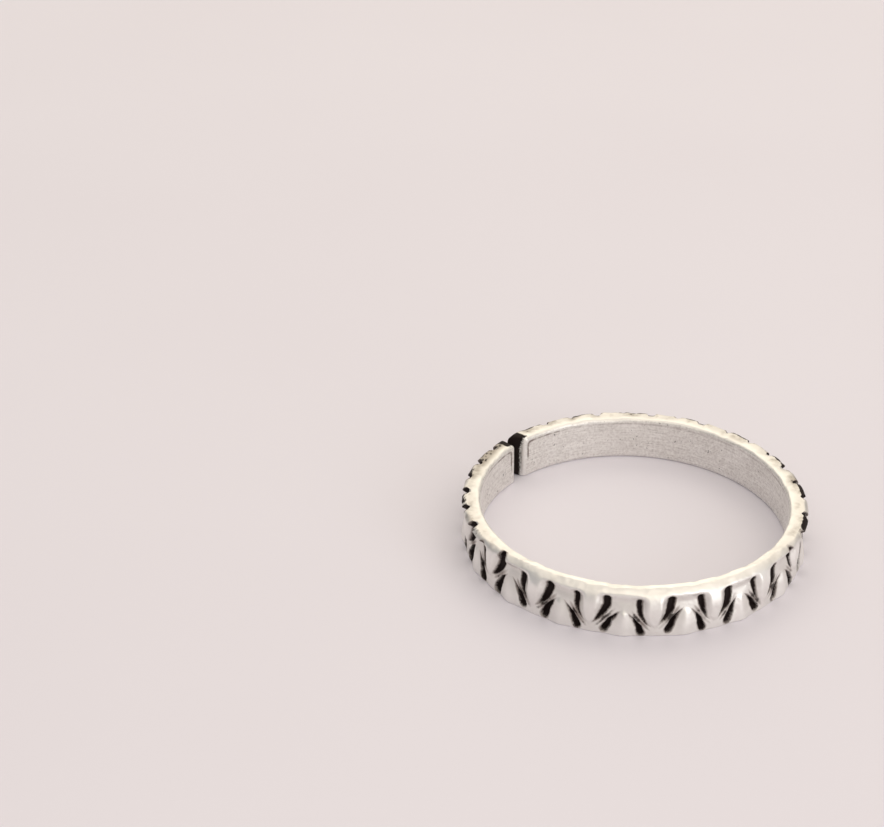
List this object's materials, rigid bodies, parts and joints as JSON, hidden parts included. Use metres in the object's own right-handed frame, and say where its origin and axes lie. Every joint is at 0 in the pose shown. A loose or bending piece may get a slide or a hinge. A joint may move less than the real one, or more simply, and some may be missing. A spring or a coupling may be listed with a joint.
{
  "type": "toe ring",
  "caption": "Open silver toe ring: a narrow cast band with a slit at the back and two interlocking rows of pointed petals cut round its outer face.",
  "frame": {"origin": "centre of the ring on the plane of its lower rim", "axes": "+Z along the ring's axis, up from the lower rim; +Y from the centre to the slit"},
  "size_m": [0.018, 0.0179, 0.0025],
  "materials": {
    "oxidised_silver": "satin silver, with black oxidised grooves"
  },
  "bodies": {
    "root": {"band": "oxidised_silver"}
  },
  "joints": []
}
